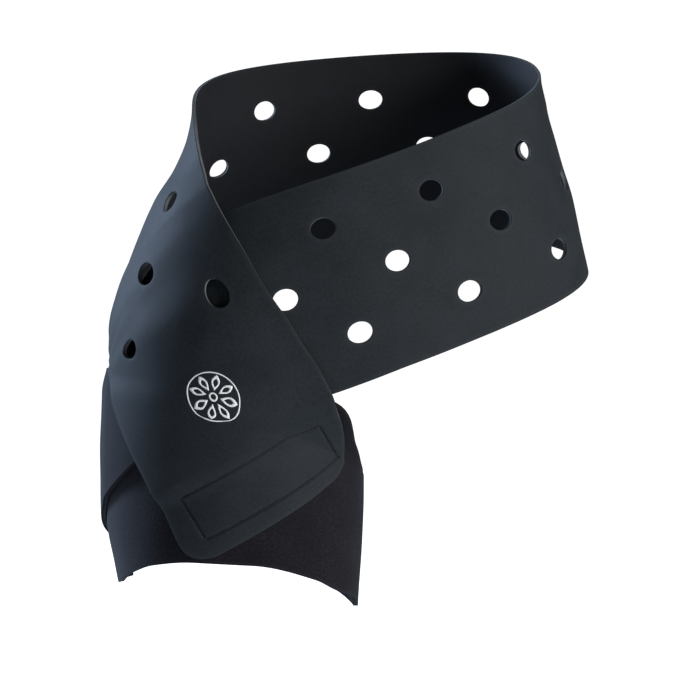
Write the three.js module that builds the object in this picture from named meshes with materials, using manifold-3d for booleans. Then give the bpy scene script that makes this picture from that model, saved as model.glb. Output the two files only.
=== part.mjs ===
// Groin support brace: a wide perforated neoprene belt round the hips whose end comes down over the
// right groin as a closing tab, and a neoprene band round the right thigh. Shown closed, as worn.
// Millimetres. The wearer faces -Y, +X is the wearer's left, +Z is up. The origin is the middle of
// the hips, where the brace would be slipped on to a wearer or a display form.

import * as THREE from "three";
import { mergeVertices } from "three/addons/utils/BufferGeometryUtils.js";
import Module from "manifold-3d";

// Sizes of the hips and the thigh that the brace is wrapped on
const HIP_WIDTH = 340;
const HIP_DEPTH = 226;
const TORSO = 200;
const THIGH_WIDTH = 178;
const THIGH_DEPTH = 192;
const THIGH_AXIS = -0.243 * HIP_WIDTH;
const HIP_ROUNDNESS = 2.25;
const THIGH_ROUNDNESS = 2.1;
const BLEND = 22;
const GROIN = 20;
const GROIN_CURVE = 28;

// Sizes of the brace
const NEOPRENE = 3.5;
const LAYER_GAP = 0.8;
const BELT_WIDTH = 140;
const TAB_CORNER = 20;
const TAB_SLANT = 9;
const TAB_NARROWING = 12;
const TAB_TAPER = 55;
const TAB_WAIST = 4.3;
const TAB_WAIST_AT = 168;
const TAB_WAIST_LENGTH = 104;
const HOLE_LENGTH = 17.4;
const HOLE_WIDTH = 14.2;
const HOLE_PITCH = 81;
const HOLE_ROW = 37;
const FIRST_HOLE = 158;
const PLAIN_START = 50;
const HOOK = 1.2;
const BELT_HOOK_LENGTH = 107;
const BELT_HOOK_WIDTH = 34;
const BELT_HOOK_AT = 34.5;
const BELT_HOOK_TURN = 0.085;
const CELL = 11;
const BAND_CELL = 10;
const ACROSS = 14;

// The levels at which one layer lies on another, as clear heights over the body
const SECOND = NEOPRENE + LAYER_GAP;
const OVER_HOOK = NEOPRENE + HOOK + 2 * LAYER_GAP;
const THIRD = 2 * SECOND;
// Over three layers the tab bridges their steps, so it lies this much higher
const BRIDGING = 0.25;
const THIRD_OVER_HOOK = OVER_HOOK + SECOND + BRIDGING;

// Hips: rows by height (share of TORSO), centre and half width (shares of HIP_WIDTH), and the
// depth in front and behind (shares of HIP_DEPTH)
const HIP_ROWS = [
  { at: -1.1, centre: 0, half: 0.05, front: 0.15, back: 0.2 },
  { at: -0.55, centre: 0, half: 0.05, front: 0.18, back: 0.25 },
  { at: -0.43, centre: -0.02, half: 0.07, front: 0.35, back: 0.4 },
  { at: -0.3, centre: -0.02, half: 0.22, front: 0.43, back: 0.48 },
  { at: -0.15, centre: 0, half: 0.45, front: 0.455, back: 0.52 },
  { at: 0, centre: 0.0135, half: 0.4835, front: 0.473, back: 0.53 },
  { at: 0.1, centre: 0.012, half: 0.485, front: 0.473, back: 0.525 },
  { at: 0.2, centre: 0.017, half: 0.481, front: 0.47, back: 0.51 },
  { at: 0.42, centre: 0.025, half: 0.449, front: 0.445, back: 0.47 },
  { at: 0.53, centre: 0.0315, half: 0.4285, front: 0.425, back: 0.45 },
  { at: 0.64, centre: 0.0415, half: 0.3975, front: 0.41, back: 0.43 },
  { at: 0.75, centre: 0.046, half: 0.374, front: 0.395, back: 0.415 },
  { at: 0.86, centre: 0.043, half: 0.36, front: 0.385, back: 0.4 },
  { at: 0.97, centre: 0.034, half: 0.356, front: 0.38, back: 0.39 },
  { at: 1.2, centre: 0.03, half: 0.358, front: 0.375, back: 0.385 },
];

// Right thigh: rows by height (share of TORSO), centre (share of HIP_WIDTH), half width (share of
// THIGH_WIDTH), and the depth in front and behind (shares of THIGH_DEPTH)
const THIGH_ROWS = [
  { at: -1.1, centre: -0.222, half: 0.43, front: 0.425, back: 0.435 },
  { at: -0.9, centre: -0.2336, half: 0.451, front: 0.45, back: 0.46 },
  { at: -0.75, centre: -0.2396, half: 0.473, front: 0.47, back: 0.478 },
  { at: -0.6, centre: -0.2446, half: 0.492, front: 0.49, back: 0.495 },
  { at: -0.43, centre: -0.244, half: 0.495, front: 0.5, back: 0.505 },
  { at: -0.15, centre: -0.244, half: 0.485, front: 0.505, back: 0.51 },
  { at: -0.05, centre: -0.244, half: 0.44, front: 0.5, back: 0.505 },
  { at: 0.1, centre: -0.245, half: 0.41, front: 0.49, back: 0.495 },
  { at: 0.35, centre: -0.21, half: 0.36, front: 0.43, back: 0.43 },
  { at: 0.6, centre: -0.16, half: 0.28, front: 0.33, back: 0.33 },
  { at: 1.2, centre: -0.1, half: 0.2, front: 0.2, back: 0.2 },
];

// Centre line of the belt from the tab's end to its hidden start: degrees round the hips from the
// front (minus is toward the wearer's right) and height (share of TORSO)
const BELT_ROUTE = [
  { turn: -33.5, height: -0.54 },
  { turn: -39, height: -0.36 },
  { turn: -46, height: -0.17 },
  { turn: -54.5, height: 0.02 },
  { turn: -62.5, height: 0.19 },
  { turn: -75.5, height: 0.33 },
  { turn: -90, height: 0.46 },
  { turn: -112, height: 0.58 },
  { turn: -145, height: 0.65 },
  { turn: -180, height: 0.68 },
  { turn: -215, height: 0.7 },
  { turn: -250, height: 0.695 },
  { turn: -272, height: 0.645 },
  { turn: -290, height: 0.582 },
  { turn: -315, height: 0.483 },
  { turn: -345, height: 0.378 },
  { turn: -375, height: 0.285 },
  { turn: -408, height: 0.165 },
  { turn: -414, height: 0.143 },
];

// How high the tab lies over the body, by distance from its end (share of BELT_WIDTH): at its
// front edge, along its middle and at its back edge
const TAB_LEVELS = [
  { at: 0, front: OVER_HOOK, middle: OVER_HOOK, back: OVER_HOOK },
  { at: 0.29, front: OVER_HOOK, middle: OVER_HOOK, back: OVER_HOOK },
  { at: 0.43, front: THIRD, middle: THIRD_OVER_HOOK, back: THIRD_OVER_HOOK },
  { at: 1.09, front: THIRD, middle: THIRD_OVER_HOOK, back: THIRD_OVER_HOOK },
  { at: 1.31, front: THIRD, middle: THIRD, back: THIRD },
  { at: 1.4, front: THIRD, middle: THIRD, back: 1.6 * SECOND },
  { at: 1.56, front: THIRD, middle: 1.5 * SECOND, back: SECOND },
  { at: 1.77, front: 0.9 * SECOND, middle: 0.4 * SECOND, back: 0.2 * SECOND },
  { at: 2.14, front: 0.2 * SECOND, middle: 0, back: 0 },
  { at: 2.57, front: 0, middle: 0, back: 0 },
];
const TAB_LEVELS_END = TAB_LEVELS[TAB_LEVELS.length - 1].at;

// The belt's hidden start lies on the thigh band: it comes down to the body over this distance
const START_ON_BAND = 96;
const START_DOWN = 186;

// Thigh band, wound once round and on over its own start: degrees round the thigh from the front
// (plus is toward the inner side), lower and upper edge (shares of TORSO)
const BAND_ROWS = [
  { turn: -125, low: -0.835, high: -0.14 },
  { turn: -90, low: -0.815, high: 0.02 },
  { turn: -60, low: -0.742, high: 0.28 },
  { turn: -45, low: -0.705, high: 0.38 },
  { turn: -25, low: -0.682, high: 0.12 },
  { turn: 0, low: -0.691, high: 0 },
  { turn: 30, low: -0.76, high: -0.13 },
  { turn: 45, low: -0.812, high: -0.28 },
  { turn: 60, low: -0.845, high: -0.38 },
  { turn: 75, low: -0.905, high: -0.435 },
  { turn: 90, low: -0.915, high: -0.47 },
  { turn: 135, low: -0.87, high: -0.43 },
  { turn: 180, low: -0.8, high: -0.37 },
  { turn: 225, low: -0.73, high: -0.24 },
  { turn: 265, low: -0.575, high: -0.06 },
  { turn: 290, low: -0.457, high: -0.065 },
  { turn: 300, low: -0.402, high: -0.13 },
  { turn: 316, low: -0.305, high: -0.14 },
];

// How high the band lies over the body, by degrees round the thigh
const BAND_LEVELS = [
  { turn: -125, level: 0 },
  { turn: 190, level: 0 },
  { turn: 230, level: SECOND },
  { turn: 272, level: SECOND },
  { turn: 286, level: OVER_HOOK },
  { turn: 316, level: OVER_HOOK },
];

// Hook patch under the band's free end
const BAND_HOOK = { from: 291, to: 312, low: -0.29, high: -0.16 };

const wasm = await Module();
wasm.setup();

// Smoothly rising share from 0 to 1
function ease(share) {
  const u = THREE.MathUtils.clamp(share, 0, 1);
  return u * u * (3 - 2 * u);
}

// Row of a table at a place, eased from one row to the next
function rowAt(rows, key, place) {
  let i = 0;
  while (i < rows.length - 2 && place > rows[i + 1][key]) i += 1;
  const share = ease((place - rows[i][key]) / (rows[i + 1][key] - rows[i][key]));
  const row = {};
  for (const name of Object.keys(rows[i])) {
    row[name] = THREE.MathUtils.lerp(rows[i][name], rows[i + 1][name], share);
  }
  return row;
}

// Slopes that keep a curve through the rows from overshooting them
function steadySlopes(x, y) {
  const last = x.length - 1;
  const slope = (i) => (y[i + 1] - y[i]) / (x[i + 1] - x[i]);
  return x.map((value, i) => {
    if (i === 0) return slope(0);
    if (i === last) return slope(last - 1);
    const before = slope(i - 1);
    const after = slope(i);
    if (before * after <= 0) return 0;
    const near = 2 * (x[i + 1] - value) + value - x[i - 1];
    const far = x[i + 1] - value + 2 * (value - x[i - 1]);
    return (near + far) / (near / before + far / after);
  });
}

// Curve through rows that never overshoots them
function steadyCurve(rows, key, name) {
  const x = rows.map((row) => row[key]);
  const y = rows.map((row) => row[name]);
  const slopes = steadySlopes(x, y);
  return (place) => {
    const at = THREE.MathUtils.clamp(place, x[0], x[x.length - 1]);
    let i = 0;
    while (i < x.length - 2 && at > x[i + 1]) i += 1;
    const h = x[i + 1] - x[i];
    const u = (at - x[i]) / h;
    const v = 1 - u;
    return (1 + 2 * u) * v * v * y[i] + u * v * v * h * slopes[i]
      + u * u * (3 - 2 * u) * y[i + 1] - u * u * v * h * slopes[i + 1];
  };
}

// A body section by height: how far a point is outside it, roughly in millimetres
function roundedForm(rows, width, depth, roundness) {
  const centre = steadyCurve(rows, "at", "centre");
  const half = steadyCurve(rows, "at", "half");
  const front = steadyCurve(rows, "at", "front");
  const back = steadyCurve(rows, "at", "back");
  return (point) => {
    const at = point.z / TORSO;
    const x = point.x - centre(at) * HIP_WIDTH;
    const reach = (point.y < 0 ? front(at) : back(at)) * depth;
    const side = Math.abs(x / (half(at) * width)) ** roundness;
    const along = Math.abs(point.y / reach) ** roundness;
    const share = (side + along + 1e-12) ** (1 / roundness);
    return Math.hypot(x, point.y) * (1 - 1 / share);
  };
}

const hips = roundedForm(HIP_ROWS, HIP_WIDTH, HIP_DEPTH, HIP_ROUNDNESS);
const thigh = roundedForm(THIGH_ROWS, THIGH_WIDTH, THIGH_DEPTH, THIGH_ROUNDNESS);

// How far the hips have drawn back at a height below the groin
function drawnBack(height) {
  const below = Math.max(0, -GROIN - height);
  return 1.25 * below * below / (below + GROIN_CURVE);
}

// Distance outside the wearer's body: hips and thigh run softly into one another
function outside(point) {
  const a = hips(point) + drawnBack(point.z);
  const b = thigh(point);
  const h = THREE.MathUtils.clamp(0.5 + (b - a) / (2 * BLEND), 0, 1);
  return b * (1 - h) + a * h - BLEND * h * (1 - h);
}

// Steepest way out of the body
function wayOut(point) {
  const slope = new THREE.Vector3();
  for (const axis of ["x", "y", "z"]) {
    const ahead = point.clone();
    const behind = point.clone();
    ahead[axis] += 0.5;
    behind[axis] -= 0.5;
    slope[axis] = outside(ahead) - outside(behind);
  }
  return slope;
}

// Nearest point on the body
function onBody(point, times = 3) {
  const found = point.clone();
  for (let i = 0; i < times; i += 1) {
    const slope = wayOut(found);
    found.addScaledVector(slope, -outside(found) / slope.lengthSq());
  }
  return found;
}

// Point on the body seen from an upright axis: degrees from the front and height
function around(axisX, turn, height) {
  const angle = THREE.MathUtils.degToRad(turn);
  const way = new THREE.Vector3(Math.sin(angle), -Math.cos(angle), 0);
  const start = new THREE.Vector3(axisX, 0, height);
  const probe = (reach) => outside(start.clone().addScaledVector(way, reach));
  let out = 260;
  while (out > 4 && probe(out - 2) > 0) out -= 2;
  let inner = out - 2;
  for (let i = 0; i < 24; i += 1) {
    const middle = (inner + out) / 2;
    if (probe(middle) > 0) out = middle;
    else inner = middle;
  }
  return start.addScaledVector(way, (inner + out) / 2);
}

// Second slopes of the smooth curve through values at places x
function secondSlopes(x, y) {
  const last = x.length - 1;
  const second = x.map(() => 0);
  const carry = x.map(() => 0);
  for (let i = 1; i < last; i += 1) {
    const share = (x[i] - x[i - 1]) / (x[i + 1] - x[i - 1]);
    const pivot = share * second[i - 1] + 2;
    second[i] = (share - 1) / pivot;
    const bend = (y[i + 1] - y[i]) / (x[i + 1] - x[i]) - (y[i] - y[i - 1]) / (x[i] - x[i - 1]);
    carry[i] = (6 * bend / (x[i + 1] - x[i - 1]) - share * carry[i - 1]) / pivot;
  }
  for (let i = last - 1; i > 0; i -= 1) second[i] = second[i] * second[i + 1] + carry[i];
  return second;
}

// Smooth curve through values at places x
function smoothCurve(x, y) {
  const second = secondSlopes(x, y);
  return (at) => {
    let i = 0;
    while (i < x.length - 2 && at > x[i + 1]) i += 1;
    const h = x[i + 1] - x[i];
    const a = (x[i + 1] - at) / h;
    const b = (at - x[i]) / h;
    return a * y[i] + b * y[i + 1]
      + ((a ** 3 - a) * second[i] + (b ** 3 - b) * second[i + 1]) * h * h / 6;
  };
}

// Distances along a line of points
function distancesAlong(points) {
  const distances = [0];
  for (let i = 1; i < points.length; i += 1) {
    distances.push(distances[i - 1] + points[i].distanceTo(points[i - 1]));
  }
  return distances;
}

// Points along the belt's centre line, evenly spaced
const ROUTE_STEP = 8;
function centreLine() {
  const turns = BELT_ROUTE.map((row) => row.turn);
  const heights = BELT_ROUTE.map((row) => row.height * TORSO);
  const marks = distancesAlong(turns.map((turn, i) => around(0, turn, heights[i])));
  const turnAt = smoothCurve(marks, turns);
  const heightAt = smoothCurve(marks, heights);
  const fine = [];
  const total = marks[marks.length - 1];
  for (let i = 0; i <= 500; i += 1) {
    const at = total * i / 500;
    fine.push(around(0, turnAt(at), heightAt(at)));
  }
  const along = distancesAlong(fine);
  const length = along[along.length - 1];
  const count = Math.round(length / ROUTE_STEP);
  const points = [];
  let k = 0;
  for (let i = 0; i <= count; i += 1) {
    const at = length * i / count;
    while (k < along.length - 2 && at > along[k + 1]) k += 1;
    const share = (at - along[k]) / (along[k + 1] - along[k]);
    points.push(onBody(fine[k].clone().lerp(fine[k + 1], share)));
  }
  return { points, length };
}

// Rungs walked straight over the body to both sides of the centre line
const RUNG_STEP = 6;
const RUNG_COUNT = Math.ceil(BELT_WIDTH / 2 / RUNG_STEP) + 1;
const centre = centreLine();
const BELT_LENGTH = centre.length;

function rungs(index) {
  const points = centre.points;
  const ahead = points[Math.min(index + 1, points.length - 1)];
  const behind = points[Math.max(index - 1, 0)];
  const along = ahead.clone().sub(behind);
  const side = new THREE.Vector3().crossVectors(wayOut(points[index]), along).normalize();
  const line = [points[index]];
  for (const sign of [1, -1]) {
    let at = points[index].clone();
    const way = side.clone().multiplyScalar(sign);
    for (let k = 1; k <= RUNG_COUNT; k += 1) {
      at = onBody(at.addScaledVector(way, RUNG_STEP), 2);
      const out = wayOut(at).normalize();
      way.addScaledVector(out, -way.dot(out)).normalize();
      if (sign > 0) line.push(at.clone());
      else line.unshift(at.clone());
    }
  }
  return line;
}

const ladder = centre.points.map((point, index) => rungs(index));

// Place on the body of a point of the flat belt: distance from the tab's end and from the middle
function onBelt(along, across) {
  const u = THREE.MathUtils.clamp(along / BELT_LENGTH, 0, 0.99999) * (ladder.length - 1);
  const v = THREE.MathUtils.clamp(across / RUNG_STEP + RUNG_COUNT, 0, 2 * RUNG_COUNT - 0.001);
  const i = Math.floor(u);
  const j = Math.floor(v);
  const near = ladder[i][j].clone().lerp(ladder[i][j + 1], v - j);
  const far = ladder[i + 1][j].clone().lerp(ladder[i + 1][j + 1], v - j);
  return onBody(near.lerp(far, u - i), 2);
}

// How high the belt lies over the body at a point of the flat belt
function beltLevel(along, across) {
  const row = rowAt(TAB_LEVELS, "at", Math.min(along / BELT_WIDTH, TAB_LEVELS_END));
  const share = ease(Math.abs(across) / (BELT_WIDTH / 2));
  const edge = across < 0 ? row.front : row.back;
  const left = BELT_LENGTH - along;
  const start = ease((START_DOWN - left) / (START_DOWN - START_ON_BAND));
  return THREE.MathUtils.lerp(row.middle, edge, share) + SECOND * start;
}

// Solid with only positions, its shared corners merged
function plain(geometry) {
  geometry.deleteAttribute("normal");
  geometry.deleteAttribute("uv");
  return mergeVertices(geometry, 1e-4);
}

function toSolid(geometry) {
  const merged = plain(geometry);
  return new wasm.Manifold(new wasm.Mesh({
    numProp: 3,
    vertProperties: new Float32Array(merged.attributes.position.array),
    triVerts: new Uint32Array(merged.index.array),
  }));
}

// Every corner of a solid moved to its place
function mapped(geometry, place) {
  const position = geometry.attributes.position;
  const point = new THREE.Vector3();
  for (let i = 0; i < position.count; i += 1) {
    point.copy(place(position.getX(i), position.getY(i), position.getZ(i)));
    position.setXYZ(i, point.x, point.y, point.z);
  }
  geometry.computeVertexNormals();
  return geometry;
}

// Raised a layer's own height over the body
function raised(point, height) {
  return point.clone().addScaledVector(wayOut(point).normalize(), height);
}

// The flat belt's outline: the tab's end is slanted and rounded, its front edge narrows toward the
// end and is cut in a little where it passes the groin
function cutOutline() {
  const half = BELT_WIDTH / 2;
  const end = half - TAB_NARROWING;
  const narrower = TAB_NARROWING * TAB_CORNER / (TAB_TAPER - TAB_SLANT);
  const from = TAB_WAIST_AT - TAB_WAIST_LENGTH / 2;
  const to = TAB_WAIST_AT + TAB_WAIST_LENGTH / 2;
  const soft = TAB_WAIST_LENGTH / 5;
  const outline = new THREE.Shape();
  outline.moveTo(BELT_LENGTH, -half);
  outline.lineTo(BELT_LENGTH, half);
  outline.lineTo(TAB_CORNER, half);
  outline.quadraticCurveTo(0, half, 0, half - TAB_CORNER);
  outline.lineTo(TAB_SLANT, TAB_CORNER - end);
  outline.quadraticCurveTo(TAB_SLANT, -end, TAB_SLANT + TAB_CORNER, -end - narrower);
  outline.quadraticCurveTo(TAB_TAPER, -half, 1.5 * TAB_TAPER, -half);
  outline.lineTo(from, -half);
  outline.bezierCurveTo(
    from + soft, -half, TAB_WAIST_AT - soft, TAB_WAIST - half, TAB_WAIST_AT, TAB_WAIST - half);
  outline.bezierCurveTo(TAB_WAIST_AT + soft, TAB_WAIST - half, to - soft, -half, to, -half);
  outline.closePath();
  return outline;
}

// The outline with its holes in three rows, the middle one half a pitch on
function beltOutline() {
  const outline = cutOutline();
  const columns = Math.floor((BELT_LENGTH - PLAIN_START - FIRST_HOLE) / (HOLE_PITCH / 2)) + 1;
  for (let column = 0; column < columns; column += 1) {
    const at = FIRST_HOLE + column * HOLE_PITCH / 2;
    const rows = column % 2 === 0 ? [-HOLE_ROW, HOLE_ROW] : [0];
    for (const row of rows) {
      const hole = new THREE.Path();
      hole.absellipse(at, row, HOLE_LENGTH / 2, HOLE_WIDTH / 2, 0, 2 * Math.PI, true);
      outline.holes.push(hole);
    }
  }
  return outline;
}

// A slight dish keeps the flat plate's cells apart while the outline is cut
function dish(along, across) {
  return (along - BELT_LENGTH / 2) ** 2 / 20000 + across ** 2 / 400;
}

function hipBelt() {
  const columns = Math.round(BELT_LENGTH / CELL);
  const rows = Math.round(BELT_WIDTH / ACROSS);
  const plate = new THREE.BoxGeometry(
    BELT_LENGTH + 4, BELT_WIDTH + 4, NEOPRENE, columns, rows, 1);
  plate.translate(BELT_LENGTH / 2, 0, NEOPRENE / 2);
  mapped(plate, (x, y, z) => new THREE.Vector3(x, y, z + dish(x, y)));
  const cutter = new THREE.ExtrudeGeometry(beltOutline(), {
    depth: 60,
    bevelEnabled: false,
    curveSegments: 12,
  });
  cutter.translate(0, 0, -20);
  const cut = toSolid(plate).intersect(toSolid(cutter)).getMesh();
  const geometry = new THREE.BufferGeometry();
  geometry.setAttribute("position", new THREE.BufferAttribute(cut.vertProperties, 3));
  geometry.setIndex(new THREE.BufferAttribute(cut.triVerts, 1));
  return mapped(geometry, (x, y, z) => {
    const height = z - dish(x, y);
    return raised(onBelt(x, y), beltLevel(x, y) + height);
  });
}

// Hook patch sewn under the tab's end, turned a little as the tab's end is
function beltHook() {
  const patch = new THREE.BoxGeometry(BELT_HOOK_WIDTH, BELT_HOOK_LENGTH, HOOK, 3, 14, 1);
  patch.rotateZ(BELT_HOOK_TURN);
  patch.translate(BELT_HOOK_AT, 0, HOOK / 2);
  return mapped(plain(patch), (x, y, z) => raised(onBelt(x, y), SECOND + z));
}

const bandLow = steadyCurve(BAND_ROWS, "turn", "low");
const bandHigh = steadyCurve(BAND_ROWS, "turn", "high");

// Piece of the thigh band between two turns and two heights
function bandPiece(piece, from, to, low, high, level) {
  piece.translate(0.5, 0.5, 0.5);
  return mapped(plain(piece), (x, y, z) => {
    const turn = THREE.MathUtils.lerp(from, to, x);
    const height = THREE.MathUtils.lerp(low(turn), high(turn), y) * TORSO;
    return raised(around(THIGH_AXIS, turn, height), level(turn) + z);
  });
}

function thighBand() {
  const from = BAND_ROWS[0].turn;
  const to = BAND_ROWS[BAND_ROWS.length - 1].turn;
  const columns = Math.round(THREE.MathUtils.degToRad(to - from) * THIGH_WIDTH / 2 / BAND_CELL);
  const band = new THREE.BoxGeometry(1, 1, 1, columns, 12, 1);
  band.scale(1, 1, NEOPRENE);
  band.translate(0, 0, (NEOPRENE - 1) / 2);
  const level = (turn) => rowAt(BAND_LEVELS, "turn", turn).level;
  return bandPiece(band, from, to, bandLow, bandHigh, level);
}

function bandHook() {
  const patch = new THREE.BoxGeometry(1, 1, 1, 4, 5, 1);
  patch.scale(1, 1, HOOK);
  patch.translate(0, 0, (HOOK - 1) / 2);
  const { from, to, low, high } = BAND_HOOK;
  return bandPiece(patch, from, to, () => low, () => high, () => SECOND);
}

const neoprene = new THREE.MeshStandardMaterial({ color: 0x30353a, roughness: 0.85, metalness: 0 });
const loopCloth = new THREE.MeshStandardMaterial({ color: 0x29282e, roughness: 0.95, metalness: 0 });
const hookTape = new THREE.MeshStandardMaterial({ color: 0x1c1d20, roughness: 0.7, metalness: 0 });

function piece(name, geometry, material) {
  const mesh = new THREE.Mesh(geometry, material);
  mesh.name = name;
  return mesh;
}

const brace = new THREE.Group();
brace.add(piece("hip_belt", hipBelt(), neoprene));
brace.add(piece("thigh_wrap", thighBand(), loopCloth));
brace.add(piece("belt_hook_patch", beltHook(), hookTape));
brace.add(piece("thigh_hook_patch", bandHook(), hookTape));

export default brace;
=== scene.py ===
# %% [markdown]
# # A groin support brace
# The real brace is two flat pieces of knit-faced neoprene that are wrapped on, one over the other:
# a band round the right thigh, and a long perforated belt round the hips whose end comes down over
# the groin as a closing tab. Neoprene is foam rubber between two thin layers of cloth, so it bends
# smoothly, hardly creases, and shows its foam wherever it is cut.
#
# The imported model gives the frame. Everything here is in metres in that frame.

# %% Load the frame
import math

import bpy
import numpy as np
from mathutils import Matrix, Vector
from mathutils.geometry import delaunay_2d_cdt
from mathutils.kdtree import KDTree


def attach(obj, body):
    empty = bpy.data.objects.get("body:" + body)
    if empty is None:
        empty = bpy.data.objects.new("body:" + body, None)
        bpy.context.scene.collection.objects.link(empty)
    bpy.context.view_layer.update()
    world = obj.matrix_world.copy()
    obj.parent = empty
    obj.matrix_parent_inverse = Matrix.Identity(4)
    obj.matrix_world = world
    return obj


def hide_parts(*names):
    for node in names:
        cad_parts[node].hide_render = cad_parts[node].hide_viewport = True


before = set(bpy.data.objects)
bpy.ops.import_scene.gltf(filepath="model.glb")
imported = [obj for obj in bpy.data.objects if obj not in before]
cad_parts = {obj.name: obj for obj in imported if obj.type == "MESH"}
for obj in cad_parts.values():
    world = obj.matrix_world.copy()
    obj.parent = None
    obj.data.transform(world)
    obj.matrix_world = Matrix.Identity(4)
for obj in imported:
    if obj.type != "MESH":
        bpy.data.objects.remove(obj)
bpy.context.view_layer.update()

print("nodes", sorted(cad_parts))


def add_object(name, data):
    """A new object in the scene."""
    made = bpy.data.objects.new(name, data)
    bpy.context.scene.collection.objects.link(made)
    return made


def look_from(item, turn, rise, away):
    """Puts a camera or a lamp where it looks at the middle of the brace: degrees from the front
    towards +X, degrees up, and distance."""
    turn, rise = math.radians(turn), math.radians(rise)
    way = Vector((math.sin(turn) * math.cos(rise), -math.cos(turn) * math.cos(rise), math.sin(rise)))
    item.location = way * away
    item.rotation_euler = way.to_track_quat("Z", "Y").to_euler()


# %% [markdown]
# ## Camera
# The picture was taken from a little toward the side that has the thigh band, a little from above
# and from a few metres away, so the lines hardly converge. A long lens from 2.6 m gives the same
# flat view. It is made first, so that every later piece can be judged through it.

# %% Camera
CAMERA_TURN = -9
CAMERA_RISE = 6
CAMERA_AWAY = 2.6
SEEN_WIDTH = 0.5
SENSOR_MM = 36

camera_data = bpy.data.cameras.new("camera")
camera_data.sensor_width = SENSOR_MM
camera_data.lens = SENSOR_MM * CAMERA_AWAY / SEEN_WIDTH
camera = add_object("camera", camera_data)
look_from(camera, CAMERA_TURN, CAMERA_RISE, CAMERA_AWAY)
bpy.context.scene.camera = camera
print("lens", round(camera_data.lens, 1), "mm")

# %% [markdown]
# ## The form that the brace is wrapped on
# Only the brace is built, but wrapped neoprene takes the shape of what it is put round. That shape
# could be sculpted by hand. Here it is a formula instead: the hips and the thigh are rounded sections
# whose width and depth change with height, and the two run softly into one another. The CAD solids
# come from the same sections, so a finer skin made from them lies exactly where the solids are.

# %% Sizes of the form and of the brace
HIP_WIDTH = 0.340
HIP_DEPTH = 0.226
TORSO = 0.200
THIGH_WIDTH = 0.178
THIGH_DEPTH = 0.192
THIGH_AXIS = -0.243 * HIP_WIDTH
HIP_ROUNDNESS = 2.25
THIGH_ROUNDNESS = 2.1
BLEND = 0.022
GROIN = 0.020
GROIN_CURVE = 0.028
# How steeply the hips draw back below the groin
DRAW_BACK = 1.25

NEOPRENE = 0.0035
LAYER_GAP = 0.0008
# Thickness of the hook tapes
HOOK = 0.0012
BELT_WIDTH = 0.140
# The tab's end: its rounded corner, its slant, how much the front edge narrows and how far from the
# end that begins; then how deep, where and over what length that edge is cut in at the groin
TAB_CORNER = 0.020
TAB_SLANT = 0.009
TAB_NARROWING = 0.012
TAB_TAPER = 0.055
TAB_WAIST = 0.0043
TAB_WAIST_AT = 0.168
TAB_WAIST_LENGTH = 0.104
START_CORNER = 0.006

# How high a layer lies when it is the second or the third, and over the hook tape
SECOND = NEOPRENE + LAYER_GAP
OVER_HOOK = NEOPRENE + HOOK + 2 * LAYER_GAP
THIRD = 2 * SECOND
# Over three layers the tab bridges their steps, so it lies this much higher
BRIDGING = 0.00025
THIRD_OVER_HOOK = OVER_HOOK + SECOND + BRIDGING


def table(names, rows):
    """Columns of a table by name."""
    return dict(zip(names.split(), np.array(rows, float).T))


# Height (share of TORSO), middle (share of HIP_WIDTH), half width (share of the form's width), and
# depth in front and behind (shares of its depth)
HIP_ROWS = table("at centre half front back", [
    (-1.1, 0, 0.05, 0.15, 0.2),
    (-0.55, 0, 0.05, 0.18, 0.25),
    (-0.43, -0.02, 0.07, 0.35, 0.4),
    (-0.3, -0.02, 0.22, 0.43, 0.48),
    (-0.15, 0, 0.45, 0.455, 0.52),
    (0, 0.0135, 0.4835, 0.473, 0.53),
    (0.1, 0.012, 0.485, 0.473, 0.525),
    (0.2, 0.017, 0.481, 0.47, 0.51),
    (0.42, 0.025, 0.449, 0.445, 0.47),
    (0.53, 0.0315, 0.4285, 0.425, 0.45),
    (0.64, 0.0415, 0.3975, 0.41, 0.43),
    (0.75, 0.046, 0.374, 0.395, 0.415),
    (0.86, 0.043, 0.36, 0.385, 0.4),
    (0.97, 0.034, 0.356, 0.38, 0.39),
    (1.2, 0.03, 0.358, 0.375, 0.385),
])
THIGH_ROWS = table("at centre half front back", [
    (-1.1, -0.222, 0.43, 0.425, 0.435),
    (-0.9, -0.2336, 0.451, 0.45, 0.46),
    (-0.75, -0.2396, 0.473, 0.47, 0.478),
    (-0.6, -0.2446, 0.492, 0.49, 0.495),
    (-0.43, -0.244, 0.495, 0.5, 0.505),
    (-0.15, -0.244, 0.485, 0.505, 0.51),
    (-0.05, -0.244, 0.44, 0.5, 0.505),
    (0.1, -0.245, 0.41, 0.49, 0.495),
    (0.35, -0.21, 0.36, 0.43, 0.43),
    (0.6, -0.16, 0.28, 0.33, 0.33),
    (1.2, -0.1, 0.2, 0.2, 0.2),
])
print("sections", len(HIP_ROWS["at"]), "of the hips,", len(THIGH_ROWS["at"]), "of the thigh")


# %% Curves through the rows of a table
def ease(share):
    """Rises smoothly from 0 to 1."""
    u = np.clip(share, 0, 1)
    return u * u * (3 - 2 * u)


def steady_curve(x, y):
    """A curve through rows that never overshoots them."""
    h = np.diff(x)
    slope = np.diff(y) / h
    m = np.zeros(len(x))
    m[0], m[-1] = slope[0], slope[-1]
    for i in range(1, len(x) - 1):
        if slope[i - 1] * slope[i] > 0:
            near = 2 * h[i] + h[i - 1]
            far = h[i] + 2 * h[i - 1]
            m[i] = (near + far) / (near / slope[i - 1] + far / slope[i])

    def curve(at):
        at = np.clip(at, x[0], x[-1])
        i = np.clip(np.searchsorted(x, at) - 1, 0, len(x) - 2)
        u = (at - x[i]) / h[i]
        v = 1 - u
        return ((1 + 2 * u) * v * v * y[i] + u * v * v * h[i] * m[i]
                + u * u * (3 - 2 * u) * y[i + 1] - u * u * v * h[i] * m[i + 1])

    return curve


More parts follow.
